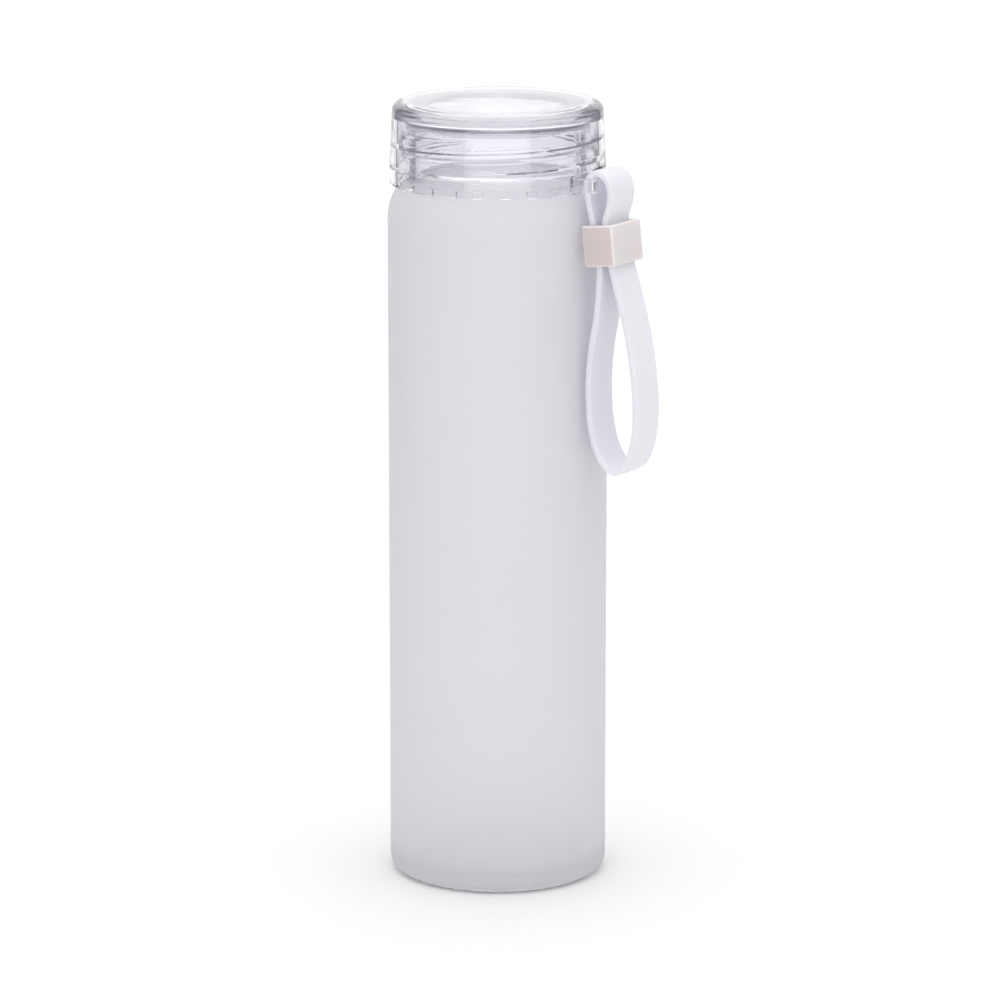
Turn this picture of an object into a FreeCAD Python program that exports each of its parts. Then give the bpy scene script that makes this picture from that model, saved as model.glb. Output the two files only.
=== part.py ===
import FreeCAD, Part
import math
import os

# Overall sizes, in mm. Z is up, the bottle's axis is the Z axis and the strap lug points along +X.
HEIGHT = 223.0

# Glass body
BODY_RADIUS = 31.0
BODY_WALL = 2.0
BASE_THICKNESS = 4.2
FOOT_INNER_RADIUS = 23.5
FOOT_OUTER_RADIUS = 28.2
FOOT_RISE = 1.3
CORNER_HEIGHT = 4.6
SHOULDER_START = 189.8
SHOULDER_RADIUS = 15.0
NECK_RADIUS = 26.2
NECK_BORE_RADIUS = 23.3
RIM_HEIGHT = 216.7
RIM_ROUNDING = 0.9

# Thread shared by the neck and the cap: right-handed, one start
THREAD_PITCH = 5.6
THREAD_LEVEL = 210.3
NECK_THREAD_CREST = 27.35
CAP_THREAD_CREST = 26.75

# Screw cap
CAP_BOTTOM = 204.65
CAP_BOTTOM_RADIUS = 30.45
CAP_TOP_RADIUS = 29.7
CAP_EDGE_REACH = 3.7
CAP_EDGE_DROP = 3.0
CAP_BORE_RADIUS = 28.4
LID_THICKNESS = 4.0

# Seal under the lid
SEAL_INNER_RADIUS = 19.6
SEAL_OUTER_RADIUS = 25.8
SEAL_BOTTOM = 217.0
SEAL_THICKNESS = 1.7

# Carry ring and its lug
RING_BOTTOM = 199.5
RING_TOP = 204.4
RING_RADIUS = 30.45
RING_BORE_RADIUS = 28.4
RING_FLANGE_RADIUS = 27.9
RING_FLANGE_THICKNESS = 0.9
TOOTH_COUNT = 24
TOOTH_WIDTH = 2.7
TOOTH_RADIUS = 27.8
LUG_HALF_WIDTH = 8.2
LUG_ARM_WIDTH = 1.95
LUG_REACH = 37.5
LUG_BOTTOM = 200.6
BAR_CENTRE = (36.45, 202.5)
BAR_DEPTH = 2.0
BAR_HEIGHT = 3.8
BAR_ROUNDING = 0.8

# Strap band
STRAP_WIDTH = 11.8
STRAP_THICKNESS = 1.9
STRAP_EDGE = 0.55
LEG_SPACING = 4.1
LEG_TILT = 9.5
KEEPER_CENTRE = (38.2, 186.0)
STRAIGHT_DOWN = 7.5
STRAIGHT_UP = 6.8

# Strap keeper
KEEPER_DEPTH = 9.8
KEEPER_HEIGHT = 11.4
KEEPER_WIDTH = 15.4
KEEPER_TILT = 6.5
KEEPER_SLOT_DEPTH = 7.3
KEEPER_GAP = 0.32
KEEPER_ROUNDING = 0.7


def vec(x, y, z):
    return FreeCAD.Vector(x, y, z)


def revolve(edges):
    """Solid of revolution about Z from edges drawn in the XZ plane."""
    wire = Part.Wire(Part.__sortEdges__(edges))
    return Part.Face(wire).revolve(vec(0, 0, 0), vec(0, 0, 1), 360)


def line(a, b):
    return Part.LineSegment(vec(a[0], 0, a[1]), vec(b[0], 0, b[1])).toShape()


def arc(a, centre, b):
    """Short arc from a to b about centre, drawn in the XZ plane."""
    radius = math.hypot(a[0] - centre[0], a[1] - centre[1])
    mid = ((a[0] + b[0]) / 2 - centre[0], (a[1] + b[1]) / 2 - centre[1])
    scale = radius / math.hypot(*mid)
    through = vec(centre[0] + mid[0] * scale, 0, centre[1] + mid[1] * scale)
    return Part.Arc(vec(a[0], 0, a[1]), through, vec(b[0], 0, b[1])).toShape()


def ellipse_quarter(a, corner, b):
    """Quarter of an ellipse from a to b, tangent to the lines that meet at corner, in the XZ plane."""
    hold = 0.5523
    poles = [a, tuple(p + (q - p) * hold for p, q in zip(a, corner)),
             tuple(p + (q - p) * hold for p, q in zip(b, corner)), b]
    curve = Part.BezierCurve()
    curve.setPoles([vec(x, 0, z) for x, z in poles])
    return curve.toShape()


def thread_ridge(root, crest, root_width, crest_width, level, turns_down, turns_up, taper):
    """Helical ridge that rises with the angle; level is its height at angle 0."""
    sections = []
    steps = int((turns_up + turns_down) * 30)
    for i in range(steps + 1):
        turn = -turns_down + (turns_up + turns_down) * i / steps
        from_end = min(turn + turns_down, turns_up - turn)
        grow = max(0.06, min(1.0, from_end / taper))
        z = level + THREAD_PITCH * turn
        reach = root + (crest - root) * grow
        wide = root_width / 2 * (0.4 + 0.6 * grow)
        slim = crest_width / 2 * (0.4 + 0.6 * grow)
        angle = 2 * math.pi * turn
        c, s = math.cos(angle), math.sin(angle)
        corners = [(root, z - wide), (reach, z - slim), (reach, z + slim), (root, z + wide)]
        points = [vec(r * c, r * s, h) for r, h in corners]
        sections.append(Part.makePolygon(points + points[:1]))
    return Part.makeLoft(sections, True, False)


def glass_body():
    centre = (BODY_RADIUS - SHOULDER_RADIUS, SHOULDER_START)
    inner_arc = SHOULDER_RADIUS - BODY_WALL
    shoulder_top = SHOULDER_START + math.sqrt(SHOULDER_RADIUS ** 2 - (NECK_RADIUS - centre[0]) ** 2)
    inner_top = SHOULDER_START + math.sqrt(inner_arc ** 2 - (NECK_BORE_RADIUS - centre[0]) ** 2)
    inside = BODY_RADIUS - BODY_WALL
    floor_round = 4.0
    lip = RIM_HEIGHT - RIM_ROUNDING
    ease = 1.5
    edges = [
        line((0, FOOT_RISE), (FOOT_INNER_RADIUS - 6, FOOT_RISE)),
        line((FOOT_INNER_RADIUS - 6, FOOT_RISE), (FOOT_INNER_RADIUS, 0)),
        line((FOOT_INNER_RADIUS, 0), (FOOT_OUTER_RADIUS, 0)),
        ellipse_quarter((FOOT_OUTER_RADIUS, 0), (BODY_RADIUS, 0), (BODY_RADIUS, CORNER_HEIGHT)),
        line((BODY_RADIUS, CORNER_HEIGHT), (BODY_RADIUS, SHOULDER_START)),
        arc((BODY_RADIUS, SHOULDER_START), centre, (NECK_RADIUS, shoulder_top)),
        line((NECK_RADIUS, shoulder_top), (NECK_RADIUS, lip)),
        arc((NECK_RADIUS, lip), (NECK_RADIUS - RIM_ROUNDING, lip), (NECK_RADIUS - RIM_ROUNDING, RIM_HEIGHT)),
        line((NECK_RADIUS - RIM_ROUNDING, RIM_HEIGHT), (NECK_BORE_RADIUS + RIM_ROUNDING, RIM_HEIGHT)),
        arc((NECK_BORE_RADIUS + RIM_ROUNDING, RIM_HEIGHT), (NECK_BORE_RADIUS + RIM_ROUNDING, lip),
            (NECK_BORE_RADIUS, lip)),
        line((NECK_BORE_RADIUS, lip), (NECK_BORE_RADIUS, inner_top)),
        arc((NECK_BORE_RADIUS, inner_top), centre, (inside, SHOULDER_START)),
        line((inside, SHOULDER_START), (inside, BASE_THICKNESS + floor_round)),
        arc((inside, BASE_THICKNESS + floor_round), (inside - floor_round, BASE_THICKNESS + floor_round),
            (inside - floor_round, BASE_THICKNESS)),
        line((inside - floor_round, BASE_THICKNESS), (0, BASE_THICKNESS)),
        line((0, BASE_THICKNESS), (0, FOOT_RISE)),
    ]
    blank = revolve(edges)
    ridge = thread_ridge(NECK_RADIUS - 0.3, NECK_THREAD_CREST, 1.9, 0.8, THREAD_LEVEL, 0.62, 0.8, 0.12)
    return blank.fuse(ridge)


def screw_cap():
    top = HEIGHT - CAP_EDGE_DROP
    flat = CAP_TOP_RADIUS - CAP_EDGE_REACH
    lid_under = HEIGHT - LID_THICKNESS
    hem = 0.15
    edges = [
        line((0, HEIGHT), (flat, HEIGHT)),
        ellipse_quarter((flat, HEIGHT), (CAP_TOP_RADIUS, HEIGHT), (CAP_TOP_RADIUS, top)),
        line((CAP_TOP_RADIUS, top), (CAP_BOTTOM_RADIUS, CAP_BOTTOM + hem)),
        line((CAP_BOTTOM_RADIUS, CAP_BOTTOM + hem), (CAP_BOTTOM_RADIUS - hem, CAP_BOTTOM)),
        line((CAP_BOTTOM_RADIUS - hem, CAP_BOTTOM), (CAP_BORE_RADIUS + 0.3, CAP_BOTTOM)),
        line((CAP_BORE_RADIUS + 0.3, CAP_BOTTOM), (CAP_BORE_RADIUS, CAP_BOTTOM + 0.6)),
        line((CAP_BORE_RADIUS, CAP_BOTTOM + 0.6), (CAP_BORE_RADIUS - 0.4, lid_under - 1.0)),
        arc((CAP_BORE_RADIUS - 0.4, lid_under - 1.0), (CAP_BORE_RADIUS - 1.4, lid_under - 1.0),
            (CAP_BORE_RADIUS - 1.4, lid_under)),
        line((CAP_BORE_RADIUS - 1.4, lid_under), (0, lid_under)),
        line((0, lid_under), (0, HEIGHT)),
    ]
    blank = revolve(edges)
    level = THREAD_LEVEL - THREAD_PITCH / 2
    ridge = thread_ridge(CAP_BORE_RADIUS + 0.3, CAP_THREAD_CREST, 1.7, 0.7, level, 0.2, 1.15, 0.1)
    return blank.fuse(ridge)


def cap_seal():
    outer = Part.makeCylinder(SEAL_OUTER_RADIUS, SEAL_THICKNESS, vec(0, 0, SEAL_BOTTOM))
    hole = Part.makeCylinder(SEAL_INNER_RADIUS, SEAL_THICKNESS, vec(0, 0, SEAL_BOTTOM))
    ring = outer.cut(hole)
    return ring.makeFillet(0.3, ring.Edges)


def ring_band():
    flange = RING_TOP - RING_FLANGE_THICKNESS
    hem, top_hem = 0.35, 0.15
    corners = [
        (RING_BORE_RADIUS, RING_BOTTOM), (RING_RADIUS - hem, RING_BOTTOM), (RING_RADIUS, RING_BOTTOM + hem),
        (RING_RADIUS, RING_TOP - top_hem), (RING_RADIUS - top_hem, RING_TOP), (RING_FLANGE_RADIUS, RING_TOP),
        (RING_FLANGE_RADIUS, flange), (RING_BORE_RADIUS, flange),
    ]
    return revolve([line(a, b) for a, b in zip(corners, corners[1:] + corners[:1])])


def ring_tooth(index):
    low = RING_BOTTOM + 0.25
    section = [(RING_BORE_RADIUS + 0.4, low), (TOOTH_RADIUS + 0.3, low), (TOOTH_RADIUS, low + 0.5),
               (TOOTH_RADIUS, low + 1.5), (RING_BORE_RADIUS + 0.4, low + 1.5)]
    points = [vec(r, -TOOTH_WIDTH / 2, z) for r, z in section]
    face = Part.Face(Part.makePolygon(points + points[:1]))
    tooth = face.extrude(vec(0, TOOTH_WIDTH, 0))
    tooth.rotate(vec(0, 0, 0), vec(0, 0, 1), (index + 0.5) * 360.0 / TOOTH_COUNT)
    return tooth


def ring_lug():
    height = RING_TOP - LUG_BOTTOM
    block = Part.makeBox(LUG_REACH - 29.0, 2 * LUG_HALF_WIDTH, height, vec(29.0, -LUG_HALF_WIDTH, LUG_BOTTOM))
    corners = [e for e in block.Edges if abs(e.Vertexes[0].Z - e.Vertexes[1].Z) > 1
               and e.Vertexes[0].X > LUG_REACH - 1]
    block = block.makeFillet(1.5, corners)
    gap = LUG_HALF_WIDTH - LUG_ARM_WIDTH
    window = Part.makeBox(12.0, 2 * gap, height + 2, vec(29.0, -gap, LUG_BOTTOM - 1))
    block = block.cut(window)
    soft = [e for e in block.Edges if abs(e.Vertexes[0].Z - e.Vertexes[-1].Z) < 0.01
            and e.CenterOfMass.x > 31 and abs(e.CenterOfMass.y) > gap + 0.1]
    block = block.makeFillet(0.35, soft)
    x, z = BAR_CENTRE
    length = 2 * gap + 0.6
    bar = Part.makeBox(BAR_DEPTH, length, BAR_HEIGHT, vec(x - BAR_DEPTH / 2, -length / 2, z - BAR_HEIGHT / 2))
    bar = bar.makeFillet(BAR_ROUNDING, [e for e in bar.Edges if abs(e.Vertexes[0].Y - e.Vertexes[1].Y) > 1])
    return block.fuse(bar)


def carry_ring():
    bore = Part.makeCylinder(RING_RADIUS - 0.8, 20, vec(0, 0, RING_BOTTOM - 5))
    lug = ring_lug().cut(bore)
    teeth = [ring_tooth(i) for i in range(TOOTH_COUNT)]
    return ring_band().fuse(teeth + [lug]).removeSplitter()


def along_strap(distance, side):
    """Point on a leg's middle line, at a distance above the keeper's middle."""
    tilt = math.radians(LEG_TILT)
    x = KEEPER_CENTRE[0] - distance * math.sin(tilt) + side * math.cos(tilt)
    z = KEEPER_CENTRE[1] + distance * math.cos(tilt) + side * math.sin(tilt)
    return (x, z)


def strap_path():
    """Closed middle line of the band: down the inner leg, round the loop and over the lug's bar."""
    half = LEG_SPACING / 2
    straight = [STRAIGHT_UP, STRAIGHT_UP / 2, 0.0, -STRAIGHT_DOWN / 2, -STRAIGHT_DOWN]
    inner = [along_strap(d, -half) for d in straight]
    outer = [along_strap(d, half) for d in reversed(straight)]
    loop = [(36.6, 166.5), (34.9, 157.5), (33.9, 147.5), (34.2, 137.5), (35.8, 129.8), (38.7, 124.2),
            (42.7, 122.2), (46.5, 125.2), (48.7, 131.8), (49.35, 140.0), (48.5, 150.5), (46.4, 162.0),
            (43.6, 172.0)]
    arch = [(40.3, 196.6), (40.75, 200.2), (39.85, 203.7), (37.2, 205.8), (34.1, 204.8), (33.3, 201.4),
            (33.8, 196.8)]
    points = inner + loop + outer + arch
    curve = Part.BSplineCurve()
    curve.interpolate([vec(x, 0, z) for x, z in points], PeriodicFlag=True)
    return curve


def band_section(curve):
    """Rounded rectangle across the band at the start of its path."""
    start = curve.value(curve.FirstParameter)
    along = curve.tangent(curve.FirstParameter)[0]
    across = vec(-along.z, 0, along.x)
    half_w, half_t, edge = STRAP_WIDTH / 2, STRAP_THICKNESS / 2, STRAP_EDGE
    cut = edge * (1 - math.sqrt(0.5))

    def place(y, t):
        return start + across * t + vec(0, y, 0)

    pieces = []
    for sy, st in ((1, 1), (-1, 1), (-1, -1), (1, -1)):
        tall = place(sy * half_w, st * (half_t - edge))
        through = place(sy * (half_w - cut), st * (half_t - cut))
        flat = place(sy * (half_w - edge), st * half_t)
        pieces.append((tall, through, flat))
    ends = []
    for i, (tall, through, flat) in enumerate(pieces):
        first, last = (tall, flat) if i % 2 == 0 else (flat, tall)
        ends.append((first, through, last))
    edges = []
    for i, (first, through, last) in enumerate(ends):
        edges.append(Part.Arc(first, through, last).toShape())
        edges.append(Part.LineSegment(last, ends[(i + 1) % 4][0]).toShape())
    return Part.Wire(edges)


def strap():
    curve = strap_path()
    sweep = Part.BRepOffsetAPI.MakePipeShell(Part.Wire([curve.toShape()]))
    sweep.setBiNormalMode(vec(0, 1, 0))
    sweep.add(band_section(curve))
    sweep.build()
    sweep.makeSolid()
    return sweep.shape()


def strap_keeper():
    x, z = KEEPER_CENTRE
    low = z - KEEPER_HEIGHT / 2
    block = Part.makeBox(KEEPER_DEPTH, KEEPER_WIDTH, KEEPER_HEIGHT,
                         vec(x - KEEPER_DEPTH / 2, -KEEPER_WIDTH / 2, low))
    block = block.makeFillet(KEEPER_ROUNDING, block.Edges)
    depth = KEEPER_SLOT_DEPTH
    width = STRAP_WIDTH + 2 * KEEPER_GAP
    slot = Part.makeBox(depth, width, KEEPER_HEIGHT + 2, vec(x - depth / 2, -width / 2, low - 1))
    slot = slot.makeFillet(0.5, [e for e in slot.Edges if abs(e.Vertexes[0].Z - e.Vertexes[1].Z) > 1])
    sleeve = block.cut(slot)
    mouths = [e for e in sleeve.Edges if e.BoundBox.ZLength < 0.01 and abs(e.CenterOfMass.x - x) < depth / 2 + 0.01
              and abs(e.CenterOfMass.y) < width / 2 + 0.01]
    sleeve = sleeve.makeFillet(0.45, mouths)
    sleeve.rotate(vec(x, 0, z), vec(0, 1, 0), -KEEPER_TILT)
    return sleeve


def export(name, shape):
    solid = shape.Solids[0] if len(shape.Solids) == 1 else shape
    solid.exportStep("parts/" + name + ".step")


os.makedirs("parts", exist_ok=True)
export("glass_body", glass_body())
export("screw_cap", screw_cap())
export("cap_seal", cap_seal())
export("carry_ring", carry_ring())
export("strap", strap())
export("strap_keeper", strap_keeper())
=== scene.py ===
"""Looks of the glass water bottle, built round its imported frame."""

import logging
import math
from dataclasses import dataclass, field
from typing import Callable, Sequence

import bmesh
import bpy
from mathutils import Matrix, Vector


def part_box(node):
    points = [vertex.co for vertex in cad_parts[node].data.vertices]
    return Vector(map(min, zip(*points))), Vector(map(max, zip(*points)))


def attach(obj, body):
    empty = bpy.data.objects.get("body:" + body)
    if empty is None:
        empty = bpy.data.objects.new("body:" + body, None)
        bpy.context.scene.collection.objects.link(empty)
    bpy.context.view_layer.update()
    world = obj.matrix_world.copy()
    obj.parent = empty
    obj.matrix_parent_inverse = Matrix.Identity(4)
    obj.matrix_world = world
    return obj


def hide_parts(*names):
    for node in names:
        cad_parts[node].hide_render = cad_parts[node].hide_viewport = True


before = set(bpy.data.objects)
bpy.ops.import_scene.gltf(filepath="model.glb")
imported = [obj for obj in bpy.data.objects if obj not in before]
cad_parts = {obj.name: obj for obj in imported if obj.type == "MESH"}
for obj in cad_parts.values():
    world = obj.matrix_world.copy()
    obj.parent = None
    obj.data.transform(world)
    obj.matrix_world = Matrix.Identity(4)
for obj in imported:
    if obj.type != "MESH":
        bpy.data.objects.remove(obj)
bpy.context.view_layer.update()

log = logging.getLogger("bottle")
MM = 0.001
FULL_TURN = 2 * math.pi
Point = tuple[float, float]
Colour = tuple[float, float, float]


def mm(value: float) -> float:
    """A length in millimetres as metres."""
    return value * MM


def linear(red: int, green: int, blue: int) -> Colour:
    """A display colour, 0 to 255 a channel, as the linear colour that shaders take."""

    def channel(value: int) -> float:
        """One channel."""
        v = value / 255
        return v / 12.92 if v <= 0.04045 else ((v + 0.055) / 1.055) ** 2.4

    return channel(red), channel(green), channel(blue)


# ---------------------------------------------------------------- shader maths


class Sock:
    """A shader socket that Python's operators work on, each adding a Math node."""

    def __init__(self, board: "Board", socket: bpy.types.NodeSocket) -> None:
        """Args:
        board: the node tree that new nodes go in.
        socket: the output that this stands for.
        """
        self.board = board
        self.socket = socket

    def _do(self, operation: str, *values: "Sock | float") -> "Sock":
        """A Math node on these values."""
        return self.board.node("ShaderNodeMath", {"operation": operation}, dict(enumerate(values)))

    def __add__(self, other: "Sock | float") -> "Sock":
        """self + other."""
        return self._do("ADD", self, other)

    def __radd__(self, other: float) -> "Sock":
        """other + self."""
        return self._do("ADD", other, self)

    def __sub__(self, other: "Sock | float") -> "Sock":
        """self - other."""
        return self._do("SUBTRACT", self, other)

    def __rsub__(self, other: float) -> "Sock":
        """other - self."""
        return self._do("SUBTRACT", other, self)

    def __mul__(self, other: "Sock | float") -> "Sock":
        """self * other."""
        return self._do("MULTIPLY", self, other)

    def __rmul__(self, other: float) -> "Sock":
        """other * self."""
        return self._do("MULTIPLY", other, self)

    def __pow__(self, other: "Sock | float") -> "Sock":
        """self ** other."""
        return self._do("POWER", self, other)

    def __gt__(self, other: "Sock | float") -> "Sock":
        """1 where self is above other."""
        return self._do("GREATER_THAN", self, other)

    def __lt__(self, other: "Sock | float") -> "Sock":
        """1 where self is below other."""
        return self._do("LESS_THAN", self, other)

    def __abs__(self) -> "Sock":
        """self without its sign."""
        return self._do("ABSOLUTE", self)

    def at_least(self, other: "Sock") -> "Sock":
        """The larger of self and other."""
        return self._do("MAXIMUM", self, other)

    def ramp(self, low: float, high: float) -> "Sock":
        """A smooth step from 0 at low to 1 at high."""
        return self.board.node(
            "ShaderNodeMapRange",
            {"interpolation_type": "SMOOTHSTEP"},
            {"Value": self, "From Min": low, "From Max": high, "To Min": 0.0, "To Max": 1.0},
        )


class Board:
    """The node tree of one material, or of the world."""

    def __init__(self, owner: bpy.types.Material | bpy.types.World) -> None:
        """Args:
        owner: what the tree belongs to.
        """
        self.owner = owner
        owner.use_nodes = True
        self.tree = owner.node_tree
        self.tree.nodes.clear()

    @classmethod
    def material(cls, name: str) -> "Board":
        """The empty tree of a new material of this name."""
        return cls(bpy.data.materials.new(name))

    def node(
        self, kind: str, settings: dict[str, object] | None = None,
        inputs: dict[int | str, object] | None = None, output: int | str = 0,
    ) -> Sock:
        """Adds a node.

        Args:
            kind: the node's type.
            settings: attributes set before the sockets.
            inputs: values or links for its sockets.
            output: the output wanted.

        Returns:
            That output.
        """
        made = self.tree.nodes.new(kind)
        for key, value in (settings or {}).items():
            setattr(made, key, value)
        for key, value in (inputs or {}).items():
            if isinstance(value, Sock):
                self.tree.links.new(value.socket, made.inputs[key])
            elif isinstance(value, tuple) and made.inputs[key].type == "RGBA" and len(value) == 3:
                made.inputs[key].default_value = (*value, 1.0)
            else:
                made.inputs[key].default_value = value
        return Sock(self, made.outputs[output] if made.outputs else None)

    def place(self) -> Sock:
        """The point on the piece, in its own frame."""
        return self.node("ShaderNodeTexCoord", output="Object")

    def axes(self) -> tuple[Sock, Sock, Sock]:
        """The point's three coordinates, in metres."""
        split = self.node("ShaderNodeSeparateXYZ", inputs={0: self.place()})
        outs = split.socket.node.outputs
        return Sock(self, outs[0]), Sock(self, outs[1]), Sock(self, outs[2])

    def from_axis(self, x: Sock, y: Sock) -> Sock:
        """How far the point is from the bottle's axis."""
        return (x * x + y * y) ** 0.5

    def noise(
        self, scale: float, detail: float = 2.0, rough: float = 0.5,
        stretch: tuple[float, float, float] = (1, 1, 1),
    ) -> Sock:
        """Smooth noise from 0 to 1.

        Args:
            scale: bumps a metre.
            detail: octaves.
            rough: how strong the small octaves are.
            stretch: scale along each axis.

        Returns:
            The noise.
        """
        spot = self.node("ShaderNodeMapping", inputs={"Vector": self.place(), "Scale": stretch})
        return self.node(
            "ShaderNodeTexNoise", {"noise_dimensions": "3D"},
            {"Vector": spot, "Scale": scale, "Detail": detail, "Roughness": rough},
        )

    def blend(self, share: "Sock | float", first: object, second: object) -> Sock:
        """Mixes two colours, first where share is 0."""
        mixed = self.tree.nodes.new("ShaderNodeMix")
        mixed.data_type = "RGBA"
        for index, value in ((0, share), (6, first), (7, second)):
            if isinstance(value, Sock):
                self.tree.links.new(value.socket, mixed.inputs[index])
            else:
                mixed.inputs[index].default_value = (*value, 1.0) if isinstance(value, tuple) else value
        return Sock(self, mixed.outputs[2])

    def bump(self, height: Sock, distance: float, strength: float = 1.0) -> Sock:
        """A normal raised by height times distance, in metres."""
        return self.node(
            "ShaderNodeBump", inputs={"Height": height, "Distance": distance, "Strength": strength}
        )

    def mix(self, share: "Sock | float", first: Sock, second: Sock) -> Sock:
        """Mixes two shaders, first where share is 0."""
        return self.node("ShaderNodeMixShader", inputs={0: share, 1: first, 2: second})

    def principled(self, inputs: dict[int | str, object]) -> Sock:
        """A Principled shader with these sockets."""
        return self.node("ShaderNodeBsdfPrincipled", inputs=inputs)

    def let_through(self, shader: Sock, tint: Colour) -> Sock:
        """The shader, with soft light passing straight on through it, as it does through thin clear walls.

        Args:
            shader: the clear finish.
            tint: what each wall leaves of that light.

        Returns:
            The mixed shader.
        """
        open_way = self.node("ShaderNodeBsdfTransparent", inputs={"Color": tint})
        for ray in ("Is Diffuse Ray", "Is Shadow Ray"):
            shader = self.mix(self.node("ShaderNodeLightPath", output=ray), shader, open_way)
        return shader

    def finish(self, shader: Sock) -> bpy.types.Material:
        """Joins the shader to the output and gives the material."""
        self.node("ShaderNodeOutputMaterial", inputs={"Surface": shader})
        return self.owner


# -------------------------------------------------------------------- finishes


@dataclass(frozen=True)
class FrostedGlass:
    """Glass etched outside from the foot to the shoulder, clear at the neck, the foot and inside."""

    frost_low: float = mm(1.1)
    frost_high: float = mm(201.4)
    wall_radius: float = mm(30.0)
    shoulder_start: float = mm(189.8)
    shoulder_axis: float = mm(16.0)
    shoulder_mid: float = mm(14.0)
    foot_top: float = mm(3.0)
    fade_low: float = mm(0.12)
    fade_high: float = mm(0.25)
    tint: Colour = (0.975, 0.978, 0.985)
    frost: Colour = (0.966, 0.96, 0.994)
    cloudy: float = 0.985
    milk: float = 0.74
    glow: float = 0.42

    def outside(self, board: Board) -> Sock:
        """1 on the etched outside, 0 elsewhere."""
        x, y, z = board.axes()
        radius = board.from_axis(x, y)
        across = radius - self.shoulder_axis
        up = z - self.shoulder_start
        curved = (across * across + up * up) ** 0.5 > self.shoulder_mid
        straight = radius > self.wall_radius
        low = z < self.shoulder_start
        wall = low * straight + (1.0 - low) * curved
        under = z < self.foot_top
        band = z.ramp(self.frost_low - self.fade_low, self.frost_low + self.fade_low) * (
            1.0 - z.ramp(self.frost_high - self.fade_high, self.frost_high + self.fade_high)
        )
        return band * (1.0 - (1.0 - wall) * (1.0 - under))

    def make(self) -> bpy.types.Material:
        """The material."""
        board = Board.material("frosted_glass")
        mask = self.outside(board)
        grain = board.noise(2600.0, 3.0, 0.6)
        cloud = board.noise(38.0, 2.0, 0.5)
        clear = board.principled(
            {"Base Color": self.tint, "Roughness": 0.02, "IOR": 1.47, "Transmission Weight": 1.0}
        )
        colour = board.blend(cloud, self.frost, tuple(c * self.cloudy for c in self.frost))
        normal = board.bump(grain, mm(0.03), 0.35)
        etched = board.principled({
            "Base Color": colour, "Roughness": 0.5 + grain * 0.1, "IOR": 1.47,
            "Transmission Weight": 1.0, "Normal": normal,
        })
        coat = board.principled({
            "Base Color": colour, "Roughness": 0.6, "Specular IOR Level": 0.3, "Normal": normal,
        })
        glow = board.node("ShaderNodeBsdfTranslucent", inputs={"Color": colour})
        milky = board.mix(self.milk, etched, board.mix(self.glow, coat, glow))
        return board.finish(board.mix(mask, clear, milky))


@dataclass(frozen=True)
class ClearPlastic:
    """Polished clear moulded plastic with a faint cool tint, with painted shade in a band round the thick
    outer edge of the lid.
    """

    name: str
    tint: Colour = (0.955, 0.95, 0.984)
    # painted shade: the darker colour given to the band round the lid's outer edge
    thick: Colour = (0.66, 0.65, 0.7)
    passing: Colour = (0.99, 0.985, 0.995)
    shade_band_low: float = mm(218.8)
    shade_band_high: float = mm(222.3)
    shade_band_radius: float = mm(28.4)
    fade_low: float = mm(0.4)
    fade_high: float = mm(0.6)
    ior: float = 1.53

    def make(self) -> bpy.types.Material:
        """The material."""
        board = Board.material(self.name)
        flow = board.noise(60.0, 2.0, 0.5, (1, 1, 2.2))
        fine = board.noise(900.0, 2.0, 0.5)
        x, y, z = board.axes()
        # painted shade: the band round the lid's outer edge, between the two heights and beyond the radius,
        # takes the darker colour
        edge = z.ramp(self.shade_band_low, self.shade_band_low + self.fade_low) * (
            1.0 - z.ramp(self.shade_band_high - self.fade_high, self.shade_band_high)
        ) * (board.from_axis(x, y) > self.shade_band_radius)
        clear = board.principled({
            "Base Color": board.blend(edge, self.tint, self.thick), "Roughness": 0.012 + fine * 0.02,
            "IOR": self.ior, "Transmission Weight": 1.0, "Normal": board.bump(flow, mm(0.12), 0.5),
        })
        return board.finish(board.let_through(clear, self.passing))


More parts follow.
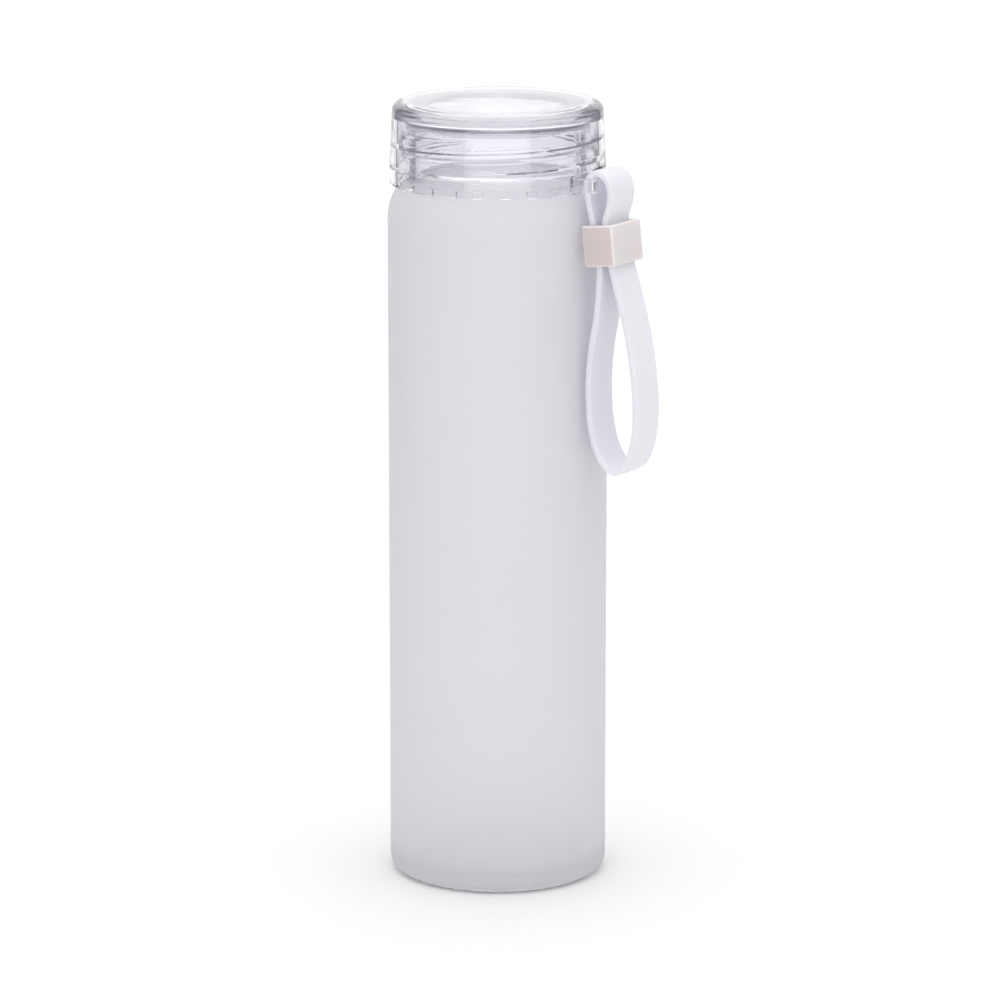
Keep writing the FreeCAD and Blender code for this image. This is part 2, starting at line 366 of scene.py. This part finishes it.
@dataclass(frozen=True)
class Silicone:
    """Matte silicone rubber that light soaks into, with a fine moulded grain, painted shade on its faces
    turned towards ±Y and, where an edge colour is given, a painted highlight on its rounded edges.
    """

    name: str
    colour: Colour
    # shade: a darker tone mottled in at random, and also the painted shade of the faces turned towards ±Y
    # where no side colour is given
    shade: Colour
    # painted shade: the darker colour of the faces turned towards ±Y
    sides: Colour | None = None
    # painted highlight: the lighter colour that the rounded edges take
    edge_highlight: Colour | None = None
    warm: Colour = (0.97, 0.92, 0.91)
    through: float = 0.2
    depth: float = mm(1.6)
    soak: float = 0.35
    rough: float = 0.5

    def make(self) -> bpy.types.Material:
        """The material."""
        board = Board.material(self.name)
        cloud = board.noise(120.0, 3.0, 0.55)
        grain = board.noise(5200.0, 2.0, 0.6)
        facing = board.node("ShaderNodeTexCoord", output="Normal")
        parts = board.node("ShaderNodeSeparateXYZ", inputs={0: facing}).socket.node.outputs
        along, across, up = (abs(Sock(board, part)) for part in parts)
        main = board.blend(cloud, self.colour, self.shade)
        # painted shade: faces turned towards ±Y darken to the side colour, or to the shade colour where none
        # is given
        skin_colour = board.blend(across.ramp(0.35, 0.9), main, self.sides or self.shade)
        # painted highlight: faces that are not flat to an axis, the rounded edges, take the lighter colour
        if self.edge_highlight:
            flat = along.at_least(across.at_least(up))
            skin_colour = board.blend(flat.ramp(0.9, 0.99), self.edge_highlight, skin_colour)
        skin = board.principled({
            "Base Color": skin_colour,
            "Roughness": self.rough + grain * 0.12,
            "Subsurface Weight": self.soak, "Subsurface Radius": (1.0, 0.72, 0.66),
            "Subsurface Scale": self.depth, "Sheen Weight": 0.08, "Sheen Roughness": 0.4,
            "Normal": board.bump(grain, mm(0.02), 0.3),
        })
        glow = board.node("ShaderNodeBsdfTranslucent", inputs={"Color": self.warm})
        return board.finish(board.mix(self.through, skin, glow))


@dataclass(frozen=True)
class SoftSeal:
    """Translucent silicone, softer and clearer than the strap's."""

    colour: Colour = (0.72, 0.71, 0.79)

    def make(self) -> bpy.types.Material:
        """The material."""
        board = Board.material("cap_seal")
        grain = board.noise(1500.0, 2.0, 0.5)
        return board.finish(board.principled({
            "Base Color": self.colour, "Roughness": 0.34 + grain * 0.08, "IOR": 1.41,
            "Transmission Weight": 0.75, "Subsurface Weight": 0.2, "Subsurface Scale": mm(1.5),
        }))


# --------------------------------------------------------------- bench helpers


def clear_selection() -> None:
    """Deselects every object and leaves edit mode."""
    if bpy.context.object and bpy.context.object.mode != "OBJECT":
        bpy.ops.object.mode_set(mode="OBJECT")
    bpy.ops.object.select_all(action="DESELECT")


def only(piece: bpy.types.Object) -> None:
    """Selects one object and makes it active."""
    clear_selection()
    piece.select_set(True)
    bpy.context.view_layer.objects.active = piece


def pick(piece: bpy.types.Object, wanted: Callable[[bmesh.types.BMFace], bool]) -> None:
    """In edit mode, selects only the faces that wanted says yes to.

    Args:
        piece: the object in edit mode.
        wanted: a test of a face.
    """
    bpy.ops.mesh.select_mode(type="FACE")
    bpy.ops.mesh.select_all(action="DESELECT")
    mesh = bmesh.from_edit_mesh(piece.data)
    for face in mesh.faces:
        if wanted(face):
            face.select_set(True)
    mesh.select_flush_mode()
    bmesh.update_edit_mesh(piece.data)


def settle(piece: bpy.types.Object, angle: float = 40.0) -> bpy.types.Object:
    """Applies the object's place to its mesh and smooths its shading."""
    only(piece)
    bpy.ops.object.transform_apply(location=True, rotation=True, scale=True)
    bpy.ops.object.shade_smooth_by_angle(angle=math.radians(angle))
    return piece


def harden(piece: bpy.types.Object) -> None:
    """Applies every modifier in order."""
    only(piece)
    for modifier in list(piece.modifiers):
        bpy.ops.object.modifier_apply(modifier=modifier.name)


def dress(piece: bpy.types.Object, material: bpy.types.Material) -> bpy.types.Object:
    """Gives a piece one material."""
    piece.data.materials.clear()
    piece.data.materials.append(material)
    return piece


def between(a: Vector, b: Vector, c: Vector, d: Vector, t: float) -> Vector:
    """A point between b and c on the smooth curve through four points.

    Args:
        a: the point before b.
        b: where the stretch starts.
        c: where it ends.
        d: the point after c.
        t: how far along it, 0 to 1.

    Returns:
        The point.
    """
    square = (2 * a - 5 * b + 4 * c - d) * t * t
    cube = (3 * b - a - 3 * c + d) * t ** 3
    return 0.5 * (2 * b + (c - a) * t + square + cube)


def rounded_plate(name: str, centre: Vector, size: Point, radius: float, steps: int) -> bpy.types.Object:
    """A flat rounded rectangle in the XZ plane, left in edit mode.

    Args:
        name: the piece's name.
        centre: its middle.
        size: its extent along X and Z.
        radius: of its corners.
        steps: edges in each corner.

    Returns:
        The piece.
    """
    clear_selection()
    bpy.ops.mesh.primitive_plane_add(size=1.0, location=centre, rotation=(math.pi / 2, 0, 0))
    piece = bpy.context.object
    piece.name = name
    piece.scale = (size[0], size[1], 1.0)
    bpy.ops.object.transform_apply(location=True, rotation=True, scale=True)
    bpy.ops.object.mode_set(mode="EDIT")
    bpy.ops.mesh.select_all(action="SELECT")
    bpy.ops.mesh.bevel(offset=radius, offset_type="OFFSET", segments=steps, affect="VERTICES")
    return piece


# --------------------------------------------------------------- the soft parts


@dataclass
class CapSeal:
    """The soft ring between the rim and the lid."""

    steps: int = 144
    bore: float = mm(19.6)
    rounding: float = mm(0.45)
    corner_steps: int = 4

    def build(self) -> bpy.types.Object:
        """Turns the seal from its rounded section."""
        low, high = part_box("cap_seal")
        outer, thick = high.x, high.z - low.z
        middle = Vector(((outer + self.bore) / 2, 0, (low.z + high.z) / 2))
        piece = rounded_plate(
            "seal_ring", middle, (outer - self.bore, thick), self.rounding, self.corner_steps
        )
        bpy.ops.mesh.select_all(action="SELECT")
        bpy.ops.mesh.spin(steps=self.steps, angle=FULL_TURN, center=(0, 0, 0), axis=(0, 0, 1))
        bpy.ops.mesh.select_all(action="SELECT")
        bpy.ops.mesh.remove_doubles(threshold=mm(0.005))

        def start_plate(face: bmesh.types.BMFace) -> bool:
            """Whether a face is the section that the spin began with."""
            level = abs(face.normal.y) > 0.99 and abs(face.calc_center_median().y) < mm(0.01)
            return level and len(face.verts) > 4

        pick(piece, start_plate)
        bpy.ops.mesh.delete(type="FACE")
        bpy.ops.mesh.select_all(action="SELECT")
        bpy.ops.mesh.normals_make_consistent(inside=False)
        bpy.ops.object.mode_set(mode="OBJECT")
        return settle(piece)

    def place(self) -> bpy.types.Object:
        """Builds, dresses and hangs the piece on its body."""
        piece = dress(self.build(), SoftSeal().make())
        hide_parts("cap_seal")
        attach(piece, "cap_lift")
        return piece


@dataclass
class CarryStrap:
    """The soft band over the lug's bar, with its long lower loop.

    The points of the loop and the arch are X and Z in millimetres.
    """

    width: float = mm(11.8)
    thickness: float = mm(1.9)
    edge: float = mm(0.6)
    leg_spacing: float = mm(4.1)
    keeper: Point = (mm(38.2), mm(186.0))
    tilt: float = math.radians(9.5)
    straight_up: float = mm(6.8)
    straight_down: float = mm(7.5)
    per_run: int = 5
    corner_steps: int = 4
    loop: Sequence[Point] = (
        (36.6, 166.5), (34.9, 157.5), (33.9, 147.5), (34.2, 137.5), (35.8, 129.8), (38.7, 124.2),
        (42.7, 122.2), (46.5, 125.2), (48.7, 131.8), (49.35, 140.0), (48.5, 150.5), (46.4, 162.0),
        (43.6, 172.0),
    )
    arch: Sequence[Point] = (
        (40.3, 196.6), (40.75, 200.2), (39.85, 203.7), (37.2, 205.8), (34.1, 204.8), (33.3, 201.4),
        (33.8, 196.8),
    )

    def along(self, distance: float, side: float) -> Vector:
        """A point on a leg's middle line, at a distance above the keeper's middle."""
        x = self.keeper[0] - distance * math.sin(self.tilt) + side * math.cos(self.tilt)
        z = self.keeper[1] + distance * math.cos(self.tilt) + side * math.sin(self.tilt)
        return Vector((x, 0, z))

    def route(self) -> list[Vector]:
        """The band's closed middle line, smooth through its points."""
        half = self.leg_spacing / 2
        straight = (self.straight_up, self.straight_up / 2, 0.0, -self.straight_down / 2, -self.straight_down)
        knots = [self.along(d, -half) for d in straight]
        knots += [Vector((mm(x), 0, mm(z))) for x, z in self.loop]
        knots += [self.along(d, half) for d in reversed(straight)]
        knots += [Vector((mm(x), 0, mm(z))) for x, z in self.arch]
        count = len(knots)
        line = []
        for i in range(count):
            a, b, c, d = (knots[(i + k - 1) % count] for k in range(4))
            for step in range(self.per_run):
                line.append(between(a, b, c, d, step / self.per_run))
        return line

    def build(self) -> bpy.types.Object:
        """Pushes the rounded section along the route and closes it on itself."""
        line = self.route()
        count = len(line)

        def heading(i: int) -> float:
            """Angle of the line at a point, from +X towards +Z."""
            run = line[(i + 1) % count] - line[i - 1]
            return math.atan2(run.z, run.x)

        clear_selection()
        bpy.ops.mesh.primitive_plane_add(size=1.0, location=(0, 0, 0))
        piece = bpy.context.object
        piece.name = "strap_band"
        piece.scale = (self.thickness, self.width, 1.0)
        bpy.ops.object.transform_apply(location=True, rotation=True, scale=True)
        bpy.ops.object.mode_set(mode="EDIT")
        bpy.ops.mesh.select_all(action="SELECT")
        bpy.ops.mesh.bevel(offset=self.edge, segments=self.corner_steps, affect="VERTICES")
        bpy.ops.mesh.select_all(action="SELECT")
        self.rotate(math.pi / 2 - heading(0), (0, 0, 0))
        bpy.ops.transform.translate(value=line[0])
        for i in range(1, count + 1):
            step = line[i % count] - line[i - 1]
            bpy.ops.mesh.extrude_region_move(TRANSFORM_OT_translate={"value": step})
            change = heading(i - 1) - heading(i % count)
            change = (change + math.pi) % FULL_TURN - math.pi
            self.rotate(change, line[i % count])
        bpy.ops.mesh.delete(type="FACE")
        pick(piece, lambda face: len(face.verts) > 4)
        bpy.ops.mesh.delete(type="FACE")
        bpy.ops.mesh.select_all(action="SELECT")
        bpy.ops.mesh.remove_doubles(threshold=mm(0.02))
        bpy.ops.mesh.normals_make_consistent(inside=False)
        bpy.ops.object.mode_set(mode="OBJECT")
        smooth = piece.modifiers.new("smooth", "SUBSURF")
        smooth.levels = smooth.render_levels = 1
        harden(piece)
        return settle(piece, 60.0)

    def rotate(self, angle: float, centre: Sequence[float]) -> None:
        """Turns what is selected about a line along Y through centre."""
        if abs(angle) > 1e-6:
            bpy.ops.transform.rotate(value=-angle, orient_axis="Y", center_override=centre)

    def place(self) -> bpy.types.Object:
        """Builds, dresses and hangs the piece on its body."""
        finish = Silicone(
            # the second colour is also the painted shade on the band's narrow faces turned towards ±Y
            "strap_silicone", linear(238, 239, 245), linear(238, 238, 243), warm=(0.95, 0.94, 0.955)
        )
        piece = dress(self.build(), finish.make())
        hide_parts("strap")
        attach(piece, "carry_strap")
        return piece


@dataclass
class StrapKeeper:
    """The square sleeve that holds both legs of the band together."""

    centre: Point = (mm(38.2), mm(186.0))
    tilt: float = math.radians(6.5)
    depth: float = mm(9.8)
    width: float = mm(15.4)
    height: float = mm(11.4)
    slot_depth: float = mm(7.3)
    slot_width: float = mm(12.44)
    wall: float = mm(1.2)
    edge: float = mm(0.55)
    edge_steps: int = 5
    margin: float = mm(0.01)

    def build(self) -> bpy.types.Object:
        """Opens the slot through a block, then rounds its edges."""
        clear_selection()
        bpy.ops.mesh.primitive_cube_add(size=1.0, location=(0, 0, 0))
        piece = bpy.context.object
        piece.name = "keeper_sleeve"
        piece.scale = (self.depth, self.width, self.height)
        bpy.ops.object.transform_apply(location=True, rotation=True, scale=True)
        bpy.ops.object.mode_set(mode="EDIT")
        pick(piece, lambda face: abs(face.normal.z) > 0.9)
        bpy.ops.mesh.inset(thickness=self.wall, use_individual=True)
        across, along = self.depth - 2 * self.wall, self.width - 2 * self.wall
        bpy.ops.transform.resize(
            value=(self.slot_depth / across, self.slot_width / along, 1.0), center_override=(0, 0, 0)
        )
        bpy.ops.mesh.bridge_edge_loops()
        bpy.ops.mesh.select_mode(type="EDGE")
        bpy.ops.mesh.select_all(action="DESELECT")
        mesh = bmesh.from_edit_mesh(piece.data)
        half_x, half_y = self.depth / 2 - self.margin, self.width / 2 - self.margin
        for edge in mesh.edges:
            middle = (edge.verts[0].co + edge.verts[1].co) / 2
            if len(edge.link_faces) == 2 and edge.calc_face_angle(0) > 0.5:
                if abs(middle.x) > half_x or abs(middle.y) > half_y:
                    edge.select_set(True)
        bmesh.update_edit_mesh(piece.data)
        bpy.ops.mesh.bevel(offset=self.edge, segments=self.edge_steps, profile=0.5, affect="EDGES")
        bpy.ops.object.mode_set(mode="OBJECT")
        piece.rotation_euler = (0, -self.tilt, 0)
        piece.location = (self.centre[0], 0, self.centre[1])
        return settle(piece, 50.0)

    def place(self) -> bpy.types.Object:
        """Builds, dresses and hangs the piece on its body."""
        finish = Silicone(
            # painted shade: the last colour on the next line goes on the keeper's faces turned towards ±Y
            "keeper_silicone", linear(236, 229, 229), linear(232, 226, 226), sides=linear(222, 212, 210),
            # painted highlight: the first colour on the next line goes on the keeper's rounded edges
            edge_highlight=linear(248, 244, 244), soak=0.45,
        )
        piece = dress(self.build(), finish.make())
        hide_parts("strap_keeper")
        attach(piece, "keeper")
        return piece


# ------------------------------------------------------------------ the studio


@dataclass
class Studio:
    """Pale floor, soft lights and the camera."""

    azimuth: float = math.radians(33.5)
    elevation: float = math.radians(12.91)
    distance: float = 1.4
    lens: float = 176.9
    aim: Vector = field(default_factory=lambda: Vector((0.00052, 0.00035, 0.108)))
    card_distance: float = 0.42
    card_depth: float = 1.2
    card_height: float = 0.7
    wall_light: float = 1.04
    ceiling_light: float = 0.55
    side_loss: float = 0.35
    floor_size: float = 12.0
    floor_dark: Colour = (0.835, 0.835, 0.835)
    floor_pale: Colour = (0.845, 0.845, 0.845)
    card_dark: Colour = (0.2, 0.2, 0.23)
    card_pale: Colour = (0.23, 0.23, 0.26)
    card_lift: float = mm(2.0)
    bounces: int = 28
    soft_bounces: int = 12

    def camera(self) -> None:
        """The camera, aimed at the bottle's middle."""
        back = Vector((
            math.sin(self.azimuth) * math.cos(self.elevation),
            -math.cos(self.azimuth) * math.cos(self.elevation),
            math.sin(self.elevation),
        ))
        lens = bpy.data.cameras.new("studio_camera")
        lens.lens = self.lens
        lens.clip_end = 50.0
        camera = bpy.data.objects.new("studio_camera", lens)
        bpy.context.scene.collection.objects.link(camera)
        camera.location = self.aim + back * self.distance
        camera.rotation_euler = (-back).to_track_quat("-Z", "Y").to_euler()
        bpy.context.scene.camera = camera

    def floor(self) -> None:
        """A large pale floor."""
        clear_selection()
        bpy.ops.mesh.primitive_plane_add(size=self.floor_size, location=(0, 0, 0))
        floor = bpy.context.object
        floor.name = "studio_floor"
        board = Board.material("studio_floor")
        soft = board.noise(3.0)
        dress(floor, board.finish(board.principled({
            "Base Color": board.blend(soft, self.floor_dark, self.floor_pale), "Roughness": 0.7,
            "Specular IOR Level": 0.1,
        })))

    def sideways(self) -> Vector:
        """The level direction to the camera's right."""
        return Vector((math.cos(self.azimuth), math.sin(self.azimuth), 0))

    def grey_card(self, name: str, side: float) -> None:
        """A grey card beside the bottle, seen only in gloss and through glass.

        Args:
            name: its name.
            side: its distance along the camera's right.
        """
        clear_selection()
        bpy.ops.mesh.primitive_plane_add(
            size=1.0,
            location=self.sideways() * side + Vector((0, 0, self.card_height / 2 + self.card_lift)),
            rotation=(math.pi / 2, 0, self.azimuth + math.pi / 2),
        )
        card = bpy.context.object
        card.name = name
        card.scale = (self.card_depth, self.card_height, 1.0)
        bpy.ops.object.transform_apply(location=True, rotation=True, scale=True)
        board = Board.material(name)
        grain = board.noise(8.0)
        dress(card, board.finish(board.principled(
            {"Base Color": board.blend(grain, self.card_dark, self.card_pale), "Roughness": 0.9}
        )))
        card.visible_camera = card.visible_diffuse = card.visible_shadow = False

    def surroundings(self) -> None:
        """Pale walls, brighter overhead and darker low down on both sides."""
        world = bpy.data.worlds.new("studio")
        bpy.context.scene.world = world
        board = Board(world)
        toward = board.node("ShaderNodeTexCoord", output="Generated")
        split = board.node("ShaderNodeSeparateXYZ", inputs={0: toward}).socket.node.outputs
        x, y, z = (Sock(board, out) for out in split)
        right = self.sideways()
        side = abs(x * right.x + y * right.y)
        dark = side.ramp(0.5, 0.8) * (1.0 - z.ramp(0.3, 0.6))
        level = self.wall_light * (1.0 - dark * self.side_loss) + z.ramp(0.55, 0.85) * self.ceiling_light
        shine = board.node("ShaderNodeBackground", inputs={"Color": (1.0, 1.0, 1.0), "Strength": level})
        board.node("ShaderNodeOutputWorld", inputs={"Surface": shine})

    def light_paths(self) -> None:
        """Lets light bounce often enough to come out of thick clear walls."""
        paths = bpy.context.scene.cycles
        paths.max_bounces = self.bounces
        paths.transmission_bounces = self.bounces
        paths.glossy_bounces = self.bounces
        paths.diffuse_bounces = self.soft_bounces

    def build(self) -> None:
        """Sets up the whole studio."""
        self.light_paths()
        self.camera()
        self.floor()
        self.grey_card("left_card", -self.card_distance)
        self.grey_card("right_card", self.card_distance)
        self.surroundings()
        bpy.context.scene.view_settings.view_transform = "Standard"


def dress_cad() -> None:
    """Gives the carried-over pieces their finishes."""
    dress(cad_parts["glass_body"], FrostedGlass().make())
    dress(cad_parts["screw_cap"], ClearPlastic("clear_cap").make())
    dress(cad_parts["carry_ring"], ClearPlastic("clear_ring", tint=(0.99, 0.986, 0.998)).make())


def write_sizes() -> None:
    """Brings the view layer up to date."""
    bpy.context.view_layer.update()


def main() -> None:
    """Builds every piece and the studio."""
    logging.basicConfig(level=logging.INFO, format="%(name)s: %(message)s")
    dress_cad()
    for maker in (CapSeal(), CarryStrap(), StrapKeeper()):
        piece = maker.place()
        log.info("%s: %d faces", piece.name, len(piece.data.polygons))
    Studio().build()
    write_sizes()


if __name__ == "__main__":
    main()
